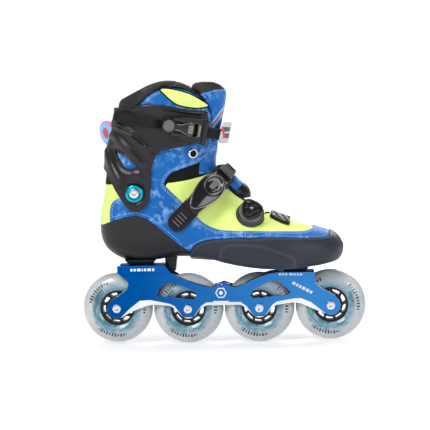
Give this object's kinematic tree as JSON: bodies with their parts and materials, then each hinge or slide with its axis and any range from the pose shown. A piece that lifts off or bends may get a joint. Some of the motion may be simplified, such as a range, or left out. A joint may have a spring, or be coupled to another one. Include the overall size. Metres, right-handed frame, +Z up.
{
  "type": "inline skate",
  "caption": "Slalom inline skate: lace-and-buckle boot with a hinged cuff on an aluminium frame, wheels in a row, ratchet straps and a lace dial.",
  "frame": {"origin": "on the floor, half way between the first and last axle and in the middle of the overall width", "axes": "+X towards the toe, +Y towards the inner side of the foot, +Z up"},
  "size_m": [0.307, 0.1175, 0.283],
  "materials": {
    "frame_blue": "satin anodised",
    "steel": "satin",
    "washer_cyan": "anodised",
    "wheel_urethane": "milky urethane, slightly glossy",
    "wheel_hub": "moulded",
    "carbon_shell": "carbon weave under lacquer",
    "bumper": "coated microfibre",
    "upper": "coated microfibre",
    "tongue": "coated microfibre over foam",
    "lining": "knit over foam",
    "cuff_plastic": "matte moulded",
    "strap_plastic": "matte moulded",
    "buckle_plastic": "gloss moulded",
    "dial_plastic": "gloss moulded",
    "cable": "coated cord",
    "shin_pad": "soft moulded",
    "badge": "soft moulded"
  },
  "bodies": {
    "boot": {"frame": "frame_blue", "heel_bolt": "steel", "toe_bolt": "steel", "instep_buckle_pin": "steel", "cuff_bolt_lateral": "steel", "cuff_bolt_medial": "steel", "axle_1": "steel", "spacer_1": "steel", "axle_2": "steel", "spacer_2": "steel", "axle_3": "steel", "spacer_3": "steel", "axle_4": "steel", "spacer_4": "steel", "cuff_washer_lateral": "washer_cyan", "cuff_washer_medial": "washer_cyan", "boot_shell": "carbon_shell", "toe_bumper": "bumper", "upper_quarter": "upper", "instep_cover": "upper", "tongue_lower": "tongue", "liner": "lining", "insole": "lining", "instep_strap": "strap_plastic", "instep_strap_base": "strap_plastic", "instep_buckle_base": "buckle_plastic", "dial_housing": "dial_plastic", "lace_guide": "dial_plastic", "lace_cable": "cable"},
    "cuff": {"cuff": "cuff_plastic", "ankle_upper": "upper", "collar_padding": "lining", "tongue_top": "tongue", "rear_badge": "badge", "ankle_strap": "strap_plastic", "shin_pad": "shin_pad", "ankle_buckle_base": "buckle_plastic", "ankle_buckle_pin": "steel"},
    "wheel_1": {"tyre_1": "wheel_urethane", "hub_1": "wheel_hub", "bearing_lateral_1": "steel", "bearing_medial_1": "steel"},
    "wheel_2": {"tyre_2": "wheel_urethane", "hub_2": "wheel_hub", "bearing_lateral_2": "steel", "bearing_medial_2": "steel"},
    "wheel_3": {"tyre_3": "wheel_urethane", "hub_3": "wheel_hub", "bearing_lateral_3": "steel", "bearing_medial_3": "steel"},
    "wheel_4": {"tyre_4": "wheel_urethane", "hub_4": "wheel_hub", "bearing_lateral_4": "steel", "bearing_medial_4": "steel"},
    "ankle_lever": {"ankle_buckle_lever": "buckle_plastic"},
    "ankle_pawl": {"ankle_buckle_pawl": "steel"},
    "instep_lever": {"instep_buckle_lever": "buckle_plastic"},
    "instep_pawl": {"instep_buckle_pawl": "steel"},
    "lace_spool": {"dial_spool": "steel"},
    "lace_knob": {"dial_knob": "dial_plastic"}
  },
  "joints": [
    {"name": "cuff_pivot", "type": "hinge", "parent": "boot", "child": "cuff", "pos_m": [-0.091, 0.006, 0.165], "axis": [0, 1, 0], "range_deg": [-2, 7]},
    {"name": "wheel_1_spin", "type": "hinge", "parent": "boot", "child": "wheel_1", "pos_m": [-0.1155, 0.006, 0.0397], "axis": [0, 1, 0], "continuous": true},
    {"name": "wheel_2_spin", "type": "hinge", "parent": "boot", "child": "wheel_2", "pos_m": [-0.0385, 0.006, 0.038], "axis": [0, 1, 0], "continuous": true},
    {"name": "wheel_3_spin", "type": "hinge", "parent": "boot", "child": "wheel_3", "pos_m": [0.0385, 0.006, 0.038], "axis": [0, 1, 0], "continuous": true},
    {"name": "wheel_4_spin", "type": "hinge", "parent": "boot", "child": "wheel_4", "pos_m": [0.1155, 0.006, 0.0397], "axis": [0, 1, 0], "continuous": true},
    {"name": "ankle_lever_turn", "type": "hinge", "parent": "cuff", "child": "ankle_lever", "pos_m": [-0.03001, -0.04493, 0.2315], "axis": [0.2, 0, 0.9798], "range_deg": [0, 75]},
    {"name": "ankle_pawl_turn", "type": "hinge", "parent": "cuff", "child": "ankle_pawl", "pos_m": [-0.02151, -0.04255, 0.22976], "axis": [-0.2, 0, -0.9798], "range_deg": [0, 15], "stiffness_Nm_per_rad": 0.02},
    {"name": "instep_lever_turn", "type": "hinge", "parent": "boot", "child": "instep_lever", "pos_m": [0.00091, -0.03262, 0.17945], "axis": [-0.6991, 0, 0.7151], "range_deg": [0, 70]},
    {"name": "instep_pawl_turn", "type": "hinge", "parent": "boot", "child": "instep_pawl", "pos_m": [0.00604, -0.02907, 0.18446], "axis": [0.6991, 0, -0.7151], "range_deg": [0, 15], "stiffness_Nm_per_rad": 0.02},
    {"name": "lace_spool_turn", "type": "hinge", "parent": "boot", "child": "lace_spool", "pos_m": [0.0315, -0.0315, 0.1405], "axis": [0.1198, -0.8583, 0.499], "continuous": true},
    {"name": "lace_knob_lift", "type": "slide", "parent": "lace_spool", "child": "lace_knob", "axis": [0.1198, -0.8583, 0.499], "range_m": [0, 0.0025]}
  ]
}
